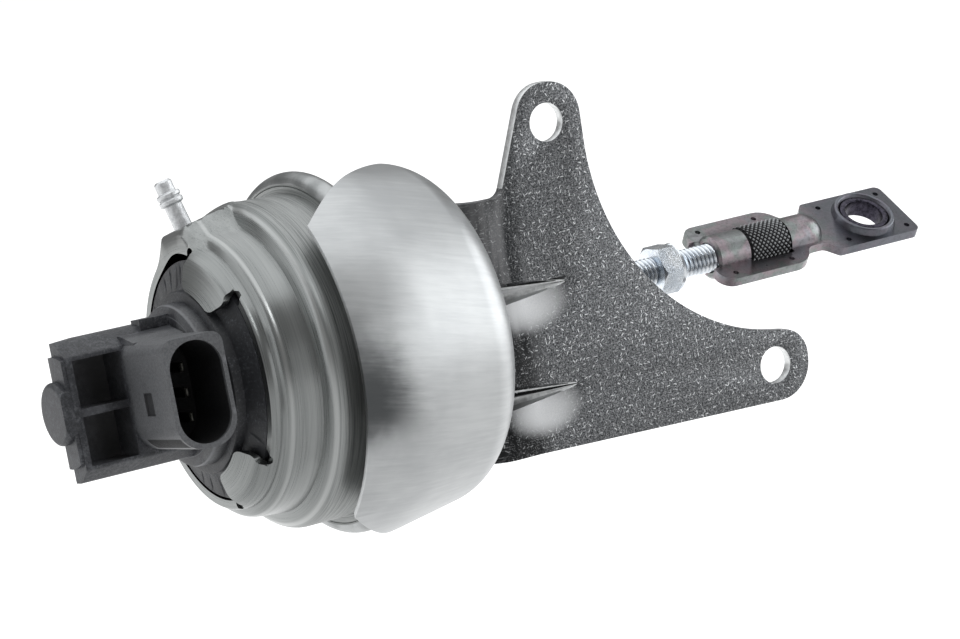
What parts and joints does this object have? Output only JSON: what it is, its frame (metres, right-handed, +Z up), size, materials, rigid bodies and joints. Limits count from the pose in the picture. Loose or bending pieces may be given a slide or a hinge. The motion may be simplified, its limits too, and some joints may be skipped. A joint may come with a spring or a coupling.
{
  "type": "turbocharger control module",
  "caption": "Vacuum can with a position sensor, heat shield and bent mounting plate; its piston pulls a threaded rod whose adjustable end has an eye for a lever.",
  "frame": {"origin": "midway between the bracket's two bolt holes, on the bracket's mounting face", "axes": "+X along the can's axis from the sensor to the rod's eye, +Z up towards the vacuum spigot, -Y out of the bracket's mounting face"},
  "size_m": [0.1974, 0.0721, 0.0797],
  "materials": {
    "drawn_steel": "satin drawn steel",
    "nipple_steel": "matte grey",
    "sensor_plastic": "mottled black moulding",
    "board": "coated board",
    "chip": "moulded chip",
    "seal_rubber": "soft",
    "diaphragm_rubber": "soft, cloth backed",
    "spring_steel": "drawn wire",
    "shield_steel": "bright satin",
    "zinc_plate": "dark spangled zinc",
    "piston_steel": "pressed",
    "hub_plastic": "moulded",
    "magnet": "sintered",
    "rod_steel": "bright zinc",
    "passivated_steel": "dark passivated, faintly iridescent",
    "bush_steel": "dark worn",
    "black_steel": "black knurled",
    "terminal_tin": "tinned"
  },
  "bodies": {
    "can": {"upper_shell": "drawn_steel", "lower_shell": "drawn_steel", "vacuum_nipple": "nipple_steel", "sensor_housing": "sensor_plastic", "circuit_board": "board", "hall_chip": "chip", "sensor_seal": "seal_rubber", "diaphragm": "diaphragm_rubber", "return_spring": "spring_steel", "heat_shield": "shield_steel", "mounting_bracket": "zinc_plate", "terminal_1": "terminal_tin", "terminal_2": "terminal_tin", "terminal_3": "terminal_tin"},
    "piston": {"piston_cup": "piston_steel", "piston_plate": "piston_steel", "rod_socket": "hub_plastic", "sensor_plunger": "hub_plastic", "plunger_magnet": "magnet"},
    "rod": {"rod": "rod_steel", "rod_hex": "rod_steel"},
    "rod_end": {"rod_end_upper": "passivated_steel", "rod_end_lower": "passivated_steel", "eye_bush": "bush_steel"},
    "adjuster": {"adjuster_nut": "black_steel"}
  },
  "joints": [
    {"name": "vacuum_stroke", "type": "slide", "parent": "can", "child": "piston", "axis": [-1, 0, 0], "range_m": [0, 0.012], "stiffness_N_per_m": 5000, "springref_m": -0.012, "deforming": ["return_spring", "diaphragm"]},
    {"name": "rod_swivel", "type": "hinge", "parent": "piston", "child": "rod", "pos_m": [-0.05658, 0.0132, -0.00775], "axis": [-0.0088, -0.5388, 0.8424], "range_deg": [-1.5, 1.5]},
    {"name": "end_travel", "type": "slide", "parent": "rod", "child": "rod_end", "axis": [0.9999, 0, 0.0105], "range_m": [-0.002, 0.002]},
    {"name": "adjuster_turn", "type": "hinge", "parent": "rod_end", "child": "adjuster", "pos_m": [0.0325, 0.0132, -0.00682], "axis": [0.9999, 0, 0.0105], "range_deg": [-721, 721]}
  ],
  "couplings": [
    {"joint": "adjuster_turn", "follows": "end_travel", "rad_per_m": 6283.2}
  ]
}
